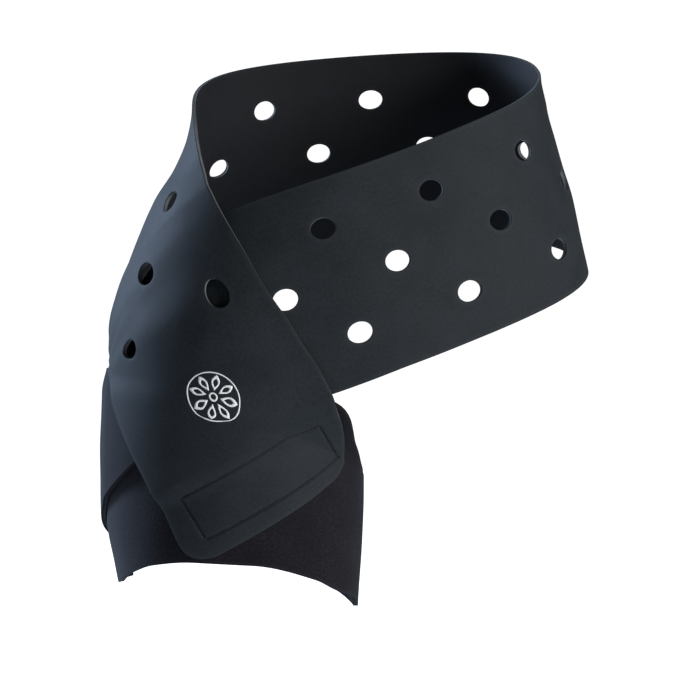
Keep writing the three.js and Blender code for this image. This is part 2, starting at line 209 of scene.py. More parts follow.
def eased(rows, key, name, at):
    """A column's value at a place, eased from one row to the next."""
    x, y = rows[key], rows[name]
    i = np.clip(np.searchsorted(x, at) - 1, 0, len(x) - 2)
    return y[i] + (y[i + 1] - y[i]) * ease((at - x[i]) / (x[i + 1] - x[i]))


def smooth_curve(x, y):
    """The natural cubic curve through rows."""
    n = len(x)
    h = np.diff(x)
    matrix = np.eye(n)
    change = np.zeros(n)
    for i in range(1, n - 1):
        matrix[i, i - 1:i + 2] = h[i - 1], 2 * (h[i - 1] + h[i]), h[i]
        change[i] = 6 * ((y[i + 1] - y[i]) / h[i] - (y[i] - y[i - 1]) / h[i - 1])
    second = np.linalg.solve(matrix, change)

    def curve(at):
        i = np.clip(np.searchsorted(x, at) - 1, 0, n - 2)
        a, b = (x[i + 1] - at) / h[i], (at - x[i]) / h[i]
        return (a * y[i] + b * y[i + 1]
                + ((a ** 3 - a) * second[i] + (b ** 3 - b) * second[i + 1]) * h[i] ** 2 / 6)

    return curve


print("half way up an ease", ease(0.5))


# %% Distance outside the form, and the way out of it
def rounded_form(rows, width, depth, roundness):
    """How far points are outside a form of rounded sections. Their middles are shares of
    HIP_WIDTH."""
    centre, half, front, back = (
        steady_curve(rows["at"], rows[name]) for name in ("centre", "half", "front", "back"))

    def distance(p):
        at = p[..., 2] / TORSO
        x = p[..., 0] - centre(at) * HIP_WIDTH
        y = p[..., 1]
        reach = np.where(y < 0, front(at), back(at)) * depth
        side = np.abs(x / (half(at) * width)) ** roundness
        along = np.abs(y / reach) ** roundness
        share = (side + along + 1e-12) ** (1 / roundness)
        return np.hypot(x, y) * (1 - 1 / share)

    return distance


hips = rounded_form(HIP_ROWS, HIP_WIDTH, HIP_DEPTH, HIP_ROUNDNESS)
thigh = rounded_form(THIGH_ROWS, THIGH_WIDTH, THIGH_DEPTH, THIGH_ROUNDNESS)


def outside(p):
    """How far points are outside hips and thigh, which run softly into one another. Below the
    groin the hips draw back, so that only the thigh is left."""
    below = np.maximum(0, -GROIN - p[..., 2])
    a = hips(p) + DRAW_BACK * below * below / (below + GROIN_CURVE)
    b = thigh(p)
    h = np.clip(0.5 + (b - a) / (2 * BLEND), 0, 1)
    return b * (1 - h) + a * h - BLEND * h * (1 - h)


def slope_out(p):
    """How fast the distance grows along each axis."""
    small = 0.0005
    axes = np.eye(3) * small
    return np.stack([outside(p + a) - outside(p - a) for a in axes], -1) / (2 * small)


def unit(v):
    return v / np.linalg.norm(v, axis=-1, keepdims=True)


def way_out(p):
    return unit(slope_out(p))


def on_form(p, times=3):
    """Nearest points on the form."""
    for _ in range(times):
        slope = slope_out(p)
        p = p - slope * (outside(p) / (slope * slope).sum(-1))[..., None]
    return p


def around(axis_x, turn, height):
    """Points on the form seen from an upright axis: degrees from the front, and height."""
    turn, height = np.broadcast_arrays(np.radians(turn), np.asarray(height, float))
    way = np.stack([np.sin(turn), -np.cos(turn), 0 * turn], -1)
    start = np.stack([axis_x + 0 * height, 0 * height, height], -1)
    farthest, step = 0.260, 0.006
    outer = np.full(turn.shape, step)
    found = np.zeros(turn.shape, bool)
    for reach in np.arange(farthest, step, -step):
        inside = (outside(start + way * reach) <= 0) & ~found
        outer[inside] = reach + step
        found |= inside
    inner = outer - step
    for _ in range(22):
        middle = (inner + outer) / 2
        out = outside(start + way * middle[..., None]) > 0
        outer, inner = np.where(out, middle, outer), np.where(out, inner, middle)
    return start + way * outer[..., None]


four_sides = around(0, np.array([-90.0, 0.0, 90.0, 180.0]), 0.0)
print("hips at the origin", np.round(four_sides[:, :2] * 1000).tolist(), "mm")

# %% [markdown]
# ## The belt's way round the hips
# The belt is cut flat from a sheet, and the flat cut is easy to draw: straight edges, round holes in
# three rows, and a slanted end with rounded corners, toward which the front edge narrows. Wrapping
# it is the hard part. A cloth simulation could wrap it, but it would never land exactly on the
# photo's outline. Instead the belt's centre line is laid round the hips through a short list of
# places, and from each point of it a rung is walked over the form to both sides, straight as a taut
# tape. Rungs and line make a map from the flat cut to the wrapped belt, so holes, stitches and
# print can all be drawn flat.

# %% Centre line and rungs
# Degrees round the hips from the front (minus is toward the side with the band) and height (share
# of TORSO), from the tab's end to the hidden start
BELT_ROUTE = table("turn height", [
    (-33.5, -0.54),
    (-39, -0.36),
    (-46, -0.17),
    (-54.5, 0.02),
    (-62.5, 0.19),
    (-75.5, 0.33),
    (-90, 0.46),
    (-112, 0.58),
    (-145, 0.65),
    (-180, 0.68),
    (-215, 0.7),
    (-250, 0.695),
    (-272, 0.645),
    (-290, 0.582),
    (-315, 0.483),
    (-345, 0.378),
    (-375, 0.285),
    (-408, 0.165),
    (-414, 0.143),
])
ROUTE_STEP = 0.008
RUNG_STEP = 0.006
RUNG_COUNT = math.ceil(BELT_WIDTH / 2 / RUNG_STEP) + 1


def distances_along(points):
    return np.concatenate([[0], np.cumsum(np.linalg.norm(np.diff(points, axis=0), axis=1))])


def centre_line():
    """Points along the belt's centre line, evenly spaced, and its length."""
    turns, heights = BELT_ROUTE["turn"], BELT_ROUTE["height"] * TORSO
    marks = distances_along(around(0, turns, heights))
    at = np.linspace(0, marks[-1], 501)
    fine = around(0, smooth_curve(marks, turns)(at), smooth_curve(marks, heights)(at))
    along = distances_along(fine)
    even = np.linspace(0, along[-1], round(along[-1] / ROUTE_STEP) + 1)
    line = np.stack([np.interp(even, along, fine[:, k]) for k in range(3)], -1)
    return on_form(line), along[-1]


def rung_ladder(line):
    """For each point of the line, points on both sides of it, a rung's step apart."""
    along = np.vstack([line[1:2] - line[:1], line[2:] - line[:-2], line[-1:] - line[-2:-1]])
    side = unit(np.cross(way_out(line), along))
    columns = {0: line}
    for sign in (1, -1):
        at, way = line.copy(), side * sign
        for k in range(1, RUNG_COUNT + 1):
            at = on_form(at + way * RUNG_STEP, 2)
            out = way_out(at)
            way = unit(way - out * (way * out).sum(-1, keepdims=True))
            columns[sign * k] = at
    return np.stack([columns[k] for k in sorted(columns)], 1)


belt_line, BELT_LENGTH = centre_line()
ladder = rung_ladder(belt_line)
print("belt length", round(BELT_LENGTH * 1000, 1), "mm, rungs", ladder.shape)


# %% Map from the flat belt to the form
def on_belt(along, across):
    """Points on the form under points of the flat belt: distance from the tab's end, and from its
    middle (minus is the front or upper edge)."""
    u = np.clip(along / BELT_LENGTH, 0, 0.99999) * (len(ladder) - 1)
    v = np.clip(across / RUNG_STEP + RUNG_COUNT, 0, 2 * RUNG_COUNT - 0.001)
    i, j = u.astype(int), v.astype(int)
    a, b = (u - i)[..., None], (v - j)[..., None]
    near = ladder[i, j] * (1 - b) + ladder[i, j + 1] * b
    far = ladder[i + 1, j] * (1 - b) + ladder[i + 1, j + 1] * b
    return on_form(near * (1 - a) + far * a, 2)


# How high the tab lies over the form, by distance from its end (share of BELT_WIDTH)
TAB_LEVELS = table("at front middle back", [
    (0, OVER_HOOK, OVER_HOOK, OVER_HOOK),
    (0.29, OVER_HOOK, OVER_HOOK, OVER_HOOK),
    (0.43, THIRD, THIRD_OVER_HOOK, THIRD_OVER_HOOK),
    (1.09, THIRD, THIRD_OVER_HOOK, THIRD_OVER_HOOK),
    (1.31, THIRD, THIRD, THIRD),
    (1.4, THIRD, THIRD, 1.6 * SECOND),
    (1.56, THIRD, 1.5 * SECOND, SECOND),
    (1.77, 0.9 * SECOND, 0.4 * SECOND, 0.2 * SECOND),
    (2.14, 0.2 * SECOND, 0, 0),
    (2.57, 0, 0, 0),
])
# The belt's hidden start lies on the thigh band, and comes down from it over this stretch
START_ON_BAND = 0.096
START_DOWN = 0.186


def belt_level(along, across):
    """How high the belt lies over the form, because of the layers under it."""
    at = np.minimum(along / BELT_WIDTH, TAB_LEVELS["at"][-1])
    middle = eased(TAB_LEVELS, "at", "middle", at)
    edge = np.where(across < 0, eased(TAB_LEVELS, "at", "front", at),
                    eased(TAB_LEVELS, "at", "back", at))
    share = ease(np.abs(across) / (BELT_WIDTH / 2))
    start = ease((START_DOWN - (BELT_LENGTH - along)) / (START_DOWN - START_ON_BAND))
    return middle + (edge - middle) * share + SECOND * start


def belt_place(flat, height):
    """Points of the wrapped belt at a height over its inner face."""
    under = on_belt(flat[:, 0], flat[:, 1])
    lift = belt_level(flat[:, 0], flat[:, 1]) + height
    return under + way_out(under) * lift[:, None]


print("tab over three layers", np.round(belt_level(np.array([0.1]), 0.0) * 1000, 2), "mm")

# %% [markdown]
# ## The flat cut
# The sheet is filled with small, even triangles, so that it can bend anywhere, and the triangles
# follow every cut edge and the seam round the hook patch. Blender could cut holes in a grid with
# booleans, which leaves ragged slivers. Filling between drawn outlines keeps each hole a clean ring,
# and each ring can then be rounded over and walled as a knife cut is.

# %% Outline, holes and seam, drawn flat
HOLE_LENGTH = 0.0174
HOLE_WIDTH = 0.0142
HOLE_PITCH = 0.081
HOLE_ROW = 0.037
FIRST_HOLE = 0.158
PLAIN_START = 0.050
# How far the cloth rolls over at a cut edge
EDGE_ROUND = 0.0007
PATCH_LENGTH = 0.107
PATCH_WIDTH = 0.034
PATCH_AT = 0.0345
PATCH_TURN = 0.085
PATCH_CORNER = 0.0015
STITCH = 0.0025


def evenly(loop, step):
    """The same loop again with points about a step apart."""
    line = np.vstack([loop, loop[:1]])
    along = distances_along(line)
    at = np.linspace(0, along[-1], round(along[-1] / step) + 1)[:-1]
    return np.stack([np.interp(at, along, line[:, k]) for k in range(2)], -1)


def swept(*knees, count=24):
    """A stretch of outline that leaves the first knee and reaches the last as those between pull
    it: a rounded corner with one between, a soft wave with two."""
    t = np.linspace(0, 1, count)[:, None]
    rows = [np.array(knee, float) + 0 * t for knee in knees]
    while len(rows) > 1:
        rows = [a * (1 - t) + b * t for a, b in zip(rows, rows[1:])]
    return rows[0]


def turned(flat, angle):
    """Flat points turned round the origin."""
    c, s = math.cos(angle), math.sin(angle)
    return flat @ np.array([[c, s], [-s, c]])


def moved_in(loop, by):
    """A loop moved to its left, which is into the cloth."""
    along = unit(np.roll(loop, -1, 0) - np.roll(loop, 1, 0))
    left = np.stack([-along[:, 1], along[:, 0]], -1)
    return loop + left * by


def belt_outline():
    """The flat belt's outline, with the cloth on its left."""
    half, length, cut, turn = BELT_WIDTH / 2, BELT_LENGTH, START_CORNER, TAB_CORNER
    end = half - TAB_NARROWING
    narrower = TAB_NARROWING * turn / (TAB_TAPER - TAB_SLANT)
    waist = np.array((TAB_WAIST_AT, TAB_WAIST - half))
    reach, soft = np.array((TAB_WAIST_LENGTH / 2, 0)), np.array((TAB_WAIST_LENGTH / 5, 0))
    edge = np.array((TAB_WAIST_AT, -half))
    neck = (turn + TAB_SLANT, -end - narrower)
    return np.vstack([
        swept((length - cut, -half), (length, -half), (length, cut - half)),
        swept((length, half - cut), (length, half), (length - cut, half)),
        swept((turn, half), (0, half), (0, half - turn)),
        swept((TAB_SLANT, turn - end), (TAB_SLANT, -end), neck),
        swept(neck, (TAB_TAPER, -half), (1.5 * TAB_TAPER, -half)),
        swept(edge - reach, edge - reach + soft, waist - soft, waist),
        swept(waist, waist + soft, edge + reach - soft, edge + reach),
    ])


def hole_centres():
    """Three rows along the belt, the middle one half a pitch on."""
    count = math.floor((BELT_LENGTH - PLAIN_START - FIRST_HOLE) / (HOLE_PITCH / 2)) + 1
    centres = []
    for column in range(count):
        rows = (-HOLE_ROW, HOLE_ROW) if column % 2 == 0 else (0,)
        centres += [(FIRST_HOLE + column * HOLE_PITCH / 2, row) for row in rows]
    return centres


def ellipse(centre, length, width, count=44):
    """An oval loop drawn clockwise, so that the cloth is on its left."""
    angle = -np.linspace(0, 2 * np.pi, count, endpoint=False)
    return np.stack([centre[0] + length / 2 * np.cos(angle),
                     centre[1] + width / 2 * np.sin(angle)], -1)


def on_tab(flat):
    """Places on the hook patch as places on the belt's flat cut."""
    return turned(flat, PATCH_TURN) + (PATCH_AT, 0)


def patch_rectangle(margin=0.0):
    """The stitched rectangle, a margin larger all round."""
    a, b = PATCH_WIDTH / 2 + margin, PATCH_LENGTH / 2 + margin
    r = max(0.0004, PATCH_CORNER + margin)
    return on_tab(np.vstack([
        swept((a - r, -b), (a, -b), (a, r - b), count=6),
        swept((a, b - r), (a, b), (a - r, b), count=6),
        swept((r - a, b), (-a, b), (-a, b - r), count=6),
        swept((-a, r - b), (-a, -b), (r - a, -b), count=6),
    ]))


holes = hole_centres()
print(len(holes), "holes in the belt")


# %% Fill a flat cut with triangles
# Rows of even triangles by their height, and how clear the rows stay of drawn lines (shares of
# their step)
ROW_HEIGHT = 0.866
CLEARANCE = 0.6


def nearest(points, others):
    """Distance from each point to the nearest of the others."""
    tree = KDTree(len(others))
    for i, p in enumerate(others):
        tree.insert((p[0], p[1], 0), i)
    tree.balance()
    return np.array([tree.find((p[0], p[1], 0))[2] for p in points])


def within(points, loops):
    """Which points lie inside the cut: inside the outline and in none of its holes."""
    odd = np.zeros(len(points), bool)
    x, y = points[:, 0], points[:, 1]
    for loop in loops:
        low, high = loop.min(0), loop.max(0)
        near = np.nonzero((x >= low[0]) & (x <= high[0]) & (y >= low[1]) & (y <= high[1]))[0]
        px, py = x[near], y[near]
        inside = np.zeros(len(near), bool)
        for (ax, ay), (bx, by) in zip(loop, np.roll(loop, -1, 0)):
            if ay != by:
                inside ^= ((ay > py) != (by > py)) & (px < (bx - ax) * (py - ay) / (by - ay) + ax)
        odd[near] ^= inside
    return odd


def filled(loops, guides, step):
    """Points and triangles that fill a cut, and the numbers of the points on each of its loops.
    Points also lie along the guides, and elsewhere in rows a step apart."""
    drawn = np.vstack([*loops, guides])
    low, high = loops[0].min(0), loops[0].max(0)
    rows = []
    for k, y in enumerate(np.arange(low[1], high[1], step * ROW_HEIGHT)):
        x = np.arange(low[0] + step / 2 * (k % 2), high[0], step)
        rows.append(np.stack([x, np.full(len(x), y)], -1))
    grid = np.vstack(rows)
    grid = grid[within(grid, loops)]
    grid = grid[nearest(grid, drawn) > CLEARANCE * step]
    points = np.vstack([drawn, grid])
    first = np.cumsum([0] + [len(loop) for loop in loops])
    rims = [np.arange(a, b) for a, b in zip(first[:-1], first[1:])]
    edges = [edge for rim in rims for edge in zip(rim.tolist(), np.roll(rim, -1).tolist())]
    # The filling works in millimetres, so that its tolerance is a small one
    scale = 1000.0
    made = delaunay_2d_cdt([Vector(p * scale) for p in points], edges, [], 0, 1e-7, True)
    places = np.array([v[:] for v in made[0]]) / scale
    origin = np.array([ids[0] if ids else -1 for ids in made[3]])
    triangles = np.array(made[2])
    triangles = triangles[within(places[triangles].mean(1), loops)]
    if (origin < 0).any() or len(origin) != len(points):
        raise ValueError("two drawn lines of the flat cut cross")
    triangles = origin[triangles]
    a, b, c = (points[triangles[:, k]] for k in range(3))
    facing_down = np.cross(b - a, c - a) < 0
    triangles[facing_down] = triangles[facing_down][:, ::-1]
    return points, triangles, rims


print("ready to fill a cut")

# %% [markdown]
# ## From flat cut to cloth with a cut edge
# Each point of the cut is placed twice, on the inner and the outer face, and a knife-cut edge joins
# them: the face cloth rolls over a fraction of a millimetre, and between the two cloths the foam
# shows, drawn in a little. Blender's Solidify with a bevel would give an edge too, but not its own
# finish for face, foam and lining. Here each ring of the edge is given its finish as it is made.

# %% Build the faces and the cut edge of one layer
FACE, FOAM, LINING = 0, 1, 2
# Steps down a cut edge: out from the face's rim (share of EDGE_ROUND) and height (share of the
# layer), with the finish of the band of faces that ends there
EDGE_STEPS = [
    (0.55, 0.985, FACE),
    (0.88, 0.93, FACE),
    (1.0, 0.85, FACE),
    (0.86, 0.80, FOAM),
    (0.80, 0.5, FOAM),
    (0.86, 0.20, FOAM),
    (1.0, 0.15, LINING),
    (0.88, 0.07, LINING),
    (0.55, 0.015, LINING),
]
EDGE_WEAR = 0.0012


def mesh_object(name, places, faces):
    """A smooth-shaded mesh in the scene."""
    mesh = bpy.data.meshes.new(name)
    mesh.from_pydata(places.tolist(), [], faces)
    mesh.polygons.foreach_set("use_smooth", [True] * len(mesh.polygons))
    return add_object(name, mesh)


def layer(name, points, triangles, loops, place, thickness, relief=None, edge=EDGE_STEPS):
    """A mesh of one layer. place(points, height) puts flat points at a height over the inner face.
    loops are the numbers of the points on each cut edge, with the cloth on their left."""
    rise = np.full(len(points), float(thickness))
    top = place(points, rise + (relief(points) if relief else 0))
    bottom = place(points, np.zeros(len(points)))
    n = len(points)
    places, flat = [top, bottom], [points, points]
    faces = [triangles, triangles[:, ::-1] + n]
    finish = [np.full(len(triangles), FACE), np.full(len(triangles), LINING)]
    rim = []
    count = 2 * n
    for loop in loops:
        a, b = top[loop], bottom[loop]
        along = np.roll(b, -1, 0) - np.roll(b, 1, 0)
        out = unit(np.cross(along, a - b))
        m = len(loop)
        above = np.array(loop)
        for reach, height, kind in [*edge, (None, 0, LINING)]:
            if reach is None:
                below = np.array(loop) + n
            else:
                places.append(b + (a - b) * height + out * reach * EDGE_ROUND)
                flat.append(points[loop])
                rim.append(np.ones(m))
                below = np.arange(count, count + m)
                count += m
            ahead = np.roll(above, -1)
            under = np.roll(below, -1)
            faces.append(np.stack([above, below, under], -1))
            faces.append(np.stack([above, under, ahead], -1))
            finish += [np.full(2 * m, kind)]
            above = below
    piece = mesh_object(name, np.vstack(places), np.vstack(faces).tolist())
    mesh = piece.data
    mesh.polygons.foreach_set("material_index", np.concatenate(finish).astype(np.int32))
    spot = mesh.attributes.new("flat_place", "FLOAT_VECTOR", "POINT")
    flat = np.vstack(flat)
    spot.data.foreach_set("vector", np.column_stack([flat, np.zeros(len(flat))]).ravel())
    near = near_edge(points, loops)
    worn = mesh.attributes.new("cut_edge", "FLOAT", "POINT")
    worn.data.foreach_set("value", np.concatenate([near, near, *rim]))
    mesh.update()
    return piece


def near_edge(points, loops):
    """1 at a cut edge, falling to 0 about a millimetre in from it."""
    away = nearest(points, np.vstack([points[loop] for loop in loops]))
    return np.clip(1 - away / EDGE_WEAR, 0, 1)


def triangle_count(piece):
    return sum(len(face.vertices) - 2 for face in piece.data.polygons)


print(len(EDGE_STEPS), "steps down a cut edge")

# %% [markdown]
# ## The hip belt
# One strip of neoprene, about 99 cm long and 14 cm wide. Its face is never perfectly even: the foam
# gives a little here and there. The hook patch is sewn on with one row of stitches, which pulls the
# face down into a narrow groove with a dimple at each needle hole. That relief is part of the mesh,
# so that it catches light as the real one does.

# %% The belt's relief
GROOVE_DEPTH = 0.0008
GROOVE_WIDTH = 0.0008
DIMPLE_DEPTH = 0.0005
# No stitch lies farther from the tab's end than this
SEAM_REACH = 0.075
# The foam's unevenness: how far it gives or swells, over what length, and the draw of its waves
BELT_SWELL = (0.00022, 0.055, 3)
OUTLINE_STEP = 0.002
CLOTH_STEP = 0.003
# Lines beside the seam that the triangles follow, by distance from it
SEAM_OFFSETS = (-0.0024, -0.0012, -0.0005, 0, 0.0005, 0.0012, 0.0024)

seam = evenly(patch_rectangle(), STITCH / 3)
needle_holes = evenly(patch_rectangle(), STITCH)


def uneven(flat, most, size, seed):
    """A soft unevenness from a few crossing waves."""
    random = np.random.default_rng(seed)
    total = np.zeros(len(flat))
    for _ in range(9):
        angle, phase = random.uniform(0, 2 * np.pi, 2)
        length = size * random.uniform(0.6, 1.7)
        way = np.array([math.cos(angle), math.sin(angle)]) * 2 * np.pi / length
        total += np.sin(flat @ way + phase)
    return most * total / 4.5


def distance_near_tab_end(flat, spots):
    """Distance to the nearest of a few spots, which all lie near the tab's end."""
    away = np.full(len(flat), 1.0)
    near = np.nonzero(flat[:, 0] < SEAM_REACH)[0]
    away[near] = nearest(flat[near], spots)
    return away


def belt_relief(flat):
    """How far the belt's face stands above or below its even thickness."""
    groove = np.exp(-(distance_near_tab_end(flat, seam) / GROOVE_WIDTH) ** 2)
    dimple = np.exp(-(distance_near_tab_end(flat, needle_holes) / GROOVE_WIDTH) ** 2)
    return uneven(flat, *BELT_SWELL) - GROOVE_DEPTH * groove - DIMPLE_DEPTH * dimple


belt_loops = [moved_in(evenly(belt_outline(), OUTLINE_STEP), EDGE_ROUND)]
for centre in holes:
    belt_loops.append(ellipse(centre, HOLE_LENGTH + 2 * EDGE_ROUND, HOLE_WIDTH + 2 * EDGE_ROUND))
seam_guides = np.vstack([evenly(patch_rectangle(d), STITCH / 3) for d in SEAM_OFFSETS])
hip_belt = layer("hip_belt_cloth", *filled(belt_loops, seam_guides, CLOTH_STEP), belt_place,
                 NEOPRENE, belt_relief)
print("hip belt", triangle_count(hip_belt), "triangles")

# %% [markdown]
# ## The thigh band
# A shorter strip whose outer face is brushed into loops, so that hook tape grips it anywhere. It is
# wound once round the thigh, and its free end goes on over its own start. Its cut is a long curved
# shape, so it is drawn in turns round the thigh with a lower and an upper edge at each turn.

# %% The band's cut and its way round the thigh
# Degrees round the thigh from the front (plus is toward the inner side), and the lower and upper
# edge (shares of TORSO)
BAND_ROWS = table("turn low high", [
    (-125, -0.835, -0.14),
    (-90, -0.815, 0.02),
    (-60, -0.742, 0.28),
    (-45, -0.705, 0.38),
    (-25, -0.682, 0.12),
    (0, -0.691, 0),
    (30, -0.76, -0.13),
    (45, -0.812, -0.28),
    (60, -0.845, -0.38),
    (75, -0.905, -0.435),
    (90, -0.915, -0.47),
    (135, -0.87, -0.43),
    (180, -0.8, -0.37),
    (225, -0.73, -0.24),
    (265, -0.575, -0.06),
    (290, -0.457, -0.065),
    (300, -0.402, -0.13),
    (316, -0.305, -0.14),
])
# How high the band lies over the form
BAND_LEVELS = table("turn level", [
    (-125, 0),
    (190, 0),
    (230, SECOND),
    (272, SECOND),
    (286, OVER_HOOK),
    (316, OVER_HOOK),
])
band_low = steady_curve(BAND_ROWS["turn"], BAND_ROWS["low"])
band_high = steady_curve(BAND_ROWS["turn"], BAND_ROWS["high"])
TURN_PER_METRE = math.degrees(1 / (THIGH_WIDTH / 2))
BAND_STEP = 0.0026
BAND_SWELL = (0.0002, 0.05, 8)


def band_place(flat, height):
    """Points of the wound band: metres along it, and metres up from its lower edge where it is as
    wide as the belt."""
    turn = BAND_ROWS["turn"][0] + flat[:, 0] * TURN_PER_METRE
    low, high = band_low(turn), band_high(turn)
    under = around(THIGH_AXIS, turn, (low + (high - low) * flat[:, 1] / BELT_WIDTH) * TORSO)
    lift = eased(BAND_LEVELS, "turn", "level", turn) + height
    return under + way_out(under) * lift[:, None]


def even_grid(low, high, step):
    """Points of a rectangle, its triangles and the one loop of its edge."""
    columns, rows = (round((high[k] - low[k]) / step) + 1 for k in (0, 1))
    x = np.linspace(low[0] + EDGE_ROUND, high[0] - EDGE_ROUND, columns)
    y = np.linspace(low[1] + EDGE_ROUND, high[1] - EDGE_ROUND, rows)
    flat = np.stack(np.meshgrid(x, y, indexing="ij"), -1).reshape(-1, 2)
    number = np.arange(columns * rows).reshape(columns, rows)
    a, b = number[:-1, :-1].ravel(), number[1:, :-1].ravel()
    c, d = number[1:, 1:].ravel(), number[:-1, 1:].ravel()
    triangles = np.vstack([np.stack([a, b, c], -1), np.stack([a, c, d], -1)])
    loop = np.concatenate([number[:-1, 0], number[-1, :-1], number[:0:-1, -1], number[0, :0:-1]])
    return flat, triangles, [loop]


BAND_LENGTH = (BAND_ROWS["turn"][-1] - BAND_ROWS["turn"][0]) / TURN_PER_METRE
thigh_wrap = layer("thigh_wrap_cloth", *even_grid((0, 0), (BAND_LENGTH, BELT_WIDTH), BAND_STEP),
                   band_place, NEOPRENE, lambda flat: uneven(flat, *BAND_SWELL))
print("thigh band", triangle_count(thigh_wrap), "triangles")

# %% [markdown]
# ## The hook tapes
# Hook tape closes the brace: one patch is sewn under the tab's end, and a small one holds the thigh
# band's free end. Both lie between two layers, so little more than their edges can ever be seen, but
# a gap with nothing in it would look wrong from the side. A tape is a thin woven backing with rows
# of stiff little hooks. They could be particles; a joined mesh of small bent pegs is lighter.

# %% Hook tapes
TAPE_BACK = 0.0005
TAPE_EDGE = [(0.4, 0.8, FACE), (0.4, 0.2, FACE)]
TAPE_STEP = 0.002
PEG_PITCH = 0.0022
PEG_RADIUS = 0.00018
PEG_SIDES = 4
# Each peg by height (share of HOOK) and how far it has bent over there
PEG_STAGES = [(0.6, 0), (0.4, 0), (0.15, 0.0003), (0.08, 0.0007)]
BAND_HOOK = {"from_turn": 291, "to_turn": 312, "low": -0.29, "high": -0.16}


def tubes(name, rings):
    """Closed tubes as one piece. rings holds points by tube, ring along it and place on the ring."""
    count, stages, sides = rings.shape[:3]
    faces = []
    for first in range(0, count * stages * sides, stages * sides):
        last = first + (stages - 1) * sides
        for row in range(first, last, sides):
            faces += [(row + k, row + (k + 1) % sides, row + sides + (k + 1) % sides, row + sides + k)
                      for k in range(sides)]
        faces.append(tuple(range(first + sides - 1, first - 1, -1)))
        faces.append(tuple(range(last, last + sides)))
    return mesh_object(name, rings.reshape(-1, 3), faces)


def joined(name, *pieces):
    """Several meshes as one piece."""
    bpy.ops.object.select_all(action="DESELECT")
    for piece in pieces:
        piece.select_set(True)
    bpy.context.view_layer.objects.active = pieces[0]
    bpy.ops.object.join()
    pieces[0].name = name
    return pieces[0]


def pegs(name, spots, place):
    """Small bent pegs that stand from the backing towards the loops."""
    points = []
    for height, lean in PEG_STAGES:
        for turn in np.arange(PEG_SIDES) * 2 * np.pi / PEG_SIDES:
            off = (lean + PEG_RADIUS * math.cos(turn), PEG_RADIUS * math.sin(turn))
            points.append(place(spots + off, np.full(len(spots), height * HOOK)))
    return tubes(name, np.stack(points, 1).reshape(len(spots), len(PEG_STAGES), PEG_SIDES, 3))


def hook_tape(name, width, length, place):
    """A patch of hook tape; place(points, height) puts it under the layer that it is sewn to."""
    cut = even_grid((-width / 2, -length / 2), (width / 2, length / 2), TAPE_STEP)
    back = layer(name, *cut, lambda flat, height: place(flat, HOOK - TAPE_BACK + height),
                 TAPE_BACK, edge=TAPE_EDGE)
    x = np.arange(PEG_PITCH - width / 2, width / 2 - PEG_PITCH / 2, PEG_PITCH)
    y = np.arange(PEG_PITCH - length / 2, length / 2 - PEG_PITCH / 2, PEG_PITCH * 0.75)
    spots = np.stack(np.meshgrid(x, y, indexing="ij"), -1).reshape(-1, 2)
    return joined(name, back, pegs(name + "_pegs", spots, place))


def under_tab(flat, height):
    spots = on_tab(flat)
    under = on_belt(spots[:, 0], spots[:, 1])
    return under + way_out(under) * (SECOND + height)[:, None]


def under_free_end(flat, height):
    hook = BAND_HOOK
    turn = (hook["from_turn"] + hook["to_turn"]) / 2 + flat[:, 0] * TURN_PER_METRE
    under = around(THIGH_AXIS, turn, (hook["low"] + hook["high"]) / 2 * TORSO + flat[:, 1])
    return under + way_out(under) * (SECOND + height)[:, None]


belt_tape = hook_tape("belt_hook_tape", PATCH_WIDTH, PATCH_LENGTH, under_tab)
thigh_tape = hook_tape(
    "thigh_hook_tape", (BAND_HOOK["to_turn"] - BAND_HOOK["from_turn"]) / TURN_PER_METRE,
    (BAND_HOOK["high"] - BAND_HOOK["low"]) * TORSO, under_free_end)
print("hook tapes", triangle_count(belt_tape), triangle_count(thigh_tape), "triangles")

# %% [markdown]
# ## The stitches round the hook patch
# A lockstitch goes down through one needle hole and comes up at the next, so on the face it shows as
# a row of short threads lying in the groove that they pull. A bump map could draw them. Here each
# one is a small tube that dips at both ends, because the groove itself is in the mesh too.

# %% Stitches
THREAD = 0.00042
# One stitch by share of its length, its depth under the face and its thickness (share of THREAD)
STITCH_STAGES = [(-0.47, 0.0013, 0.6), (-0.38, 0.0008, 1), (-0.15, 0.0006, 1.05),
                 (0.15, 0.0006, 1.05), (0.38, 0.0008, 1), (0.47, 0.0013, 0.6)]


def stitches(name, line, sides=7):
    """One thread tube for each stitch of a closed line."""
    ends = evenly(line, STITCH)
    middles = (ends + np.roll(ends, -1, 0)) / 2
    along = unit(np.roll(middles, -1, 0) - np.roll(middles, 1, 0))
    rows, sizes = [], []
    for share, depth, size in STITCH_STAGES:
        spots = middles + along * share * STITCH
        rows.append(belt_place(spots, NEOPRENE + uneven(spots, *BELT_SWELL) - depth))
        sizes.append(size * THREAD / 2)
    line3 = np.stack(rows, 1)
    ahead = unit(np.gradient(line3, axis=1))
    out = way_out(line3)
    side = unit(np.cross(ahead, out))
    out = np.cross(side, ahead)
    size = np.array(sizes)[None, :, None]
    turns = np.arange(sides) * 2 * np.pi / sides
    return tubes(name, np.stack([line3 + size * (out * math.cos(t) + side * math.sin(t))
                                 for t in turns], 2))


patch_stitches = stitches("patch_stitches", patch_rectangle())
print("stitches", triangle_count(patch_stitches), "triangles")

# %% [markdown]
# ## The print
# A round white screen print sits above the patch. Here it is a plain traditional rosette in a ring,
# eight petals round a small circle. A print could be drawn in the shader, but ink has a crisp edge
# and a slight thickness, so it is a film of its own that follows the cloth.

# %% Rosette print
PRINT_AT = (0.100, -0.002)
PRINT_RADIUS = 0.0168
